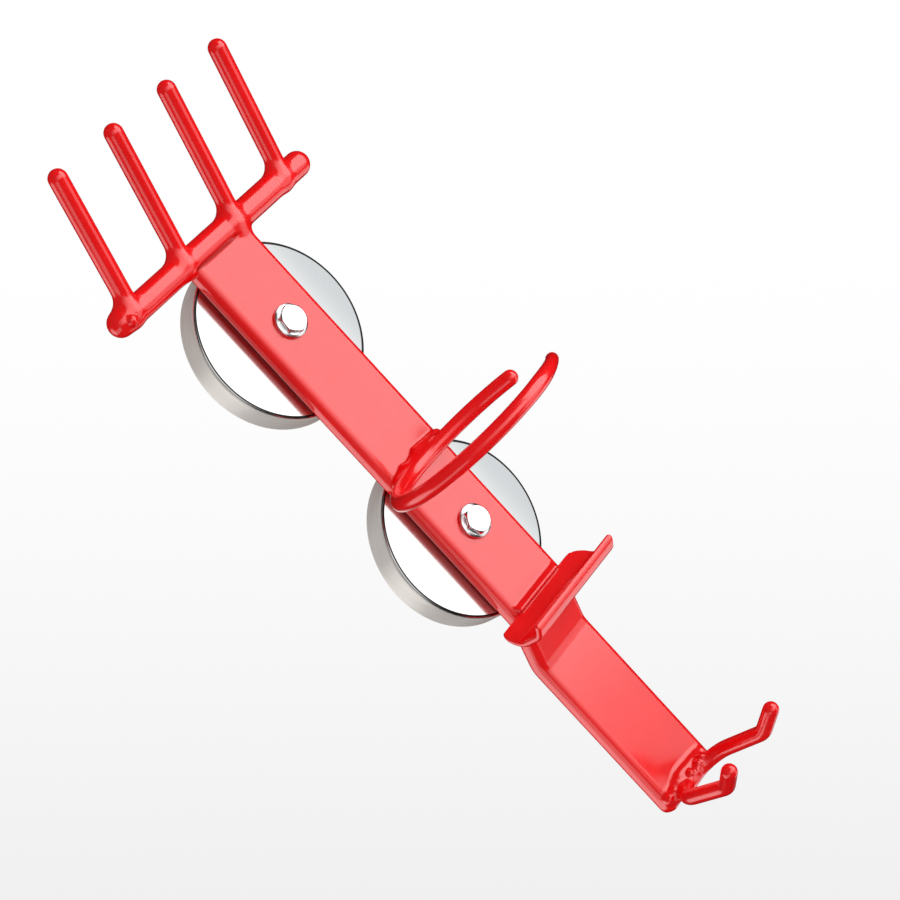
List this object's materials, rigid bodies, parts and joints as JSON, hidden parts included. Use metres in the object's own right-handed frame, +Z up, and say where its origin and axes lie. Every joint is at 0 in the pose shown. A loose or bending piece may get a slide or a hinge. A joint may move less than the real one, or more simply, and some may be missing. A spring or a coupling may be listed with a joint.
{
  "type": "magnetic tool holder",
  "caption": "Magnetic wall holder for workshop tools: a jogged flat bar on round cup magnets, with a leaning rake, an open ring, a bent shelf and a fork, all dipped in glossy red.",
  "frame": {"origin": "middle of the upper magnet's face, where it meets the wall", "axes": "+X to the right seen from the room, +Y into the wall, +Z up towards the rake"},
  "size_m": [0.132, 0.1118, 0.3712],
  "materials": {
    "red_coat": "thick glossy dipped vinyl over steel",
    "nickel": "bright nickel plate with a brushed rim",
    "zinc": "bright plated",
    "ferrite": "matte dark ferrite"
  },
  "bodies": {
    "root": {"back_bar": "red_coat", "rake_bar": "red_coat", "rake_tine_1": "red_coat", "rake_tine_2": "red_coat", "rake_tine_3": "red_coat", "rake_tine_4": "red_coat", "holding_ring": "red_coat", "tool_shelf": "red_coat", "fork_rod": "red_coat", "rake_weld": "red_coat", "ring_weld": "red_coat", "shelf_weld": "red_coat", "fork_weld": "red_coat", "upper_magnet_cup": "nickel", "upper_ferrite_ring": "ferrite", "upper_bolt": "zinc", "upper_washer": "zinc", "upper_nut": "zinc", "lower_magnet_cup": "nickel", "lower_ferrite_ring": "ferrite", "lower_bolt": "zinc", "lower_washer": "zinc", "lower_nut": "zinc"}
  },
  "joints": []
}
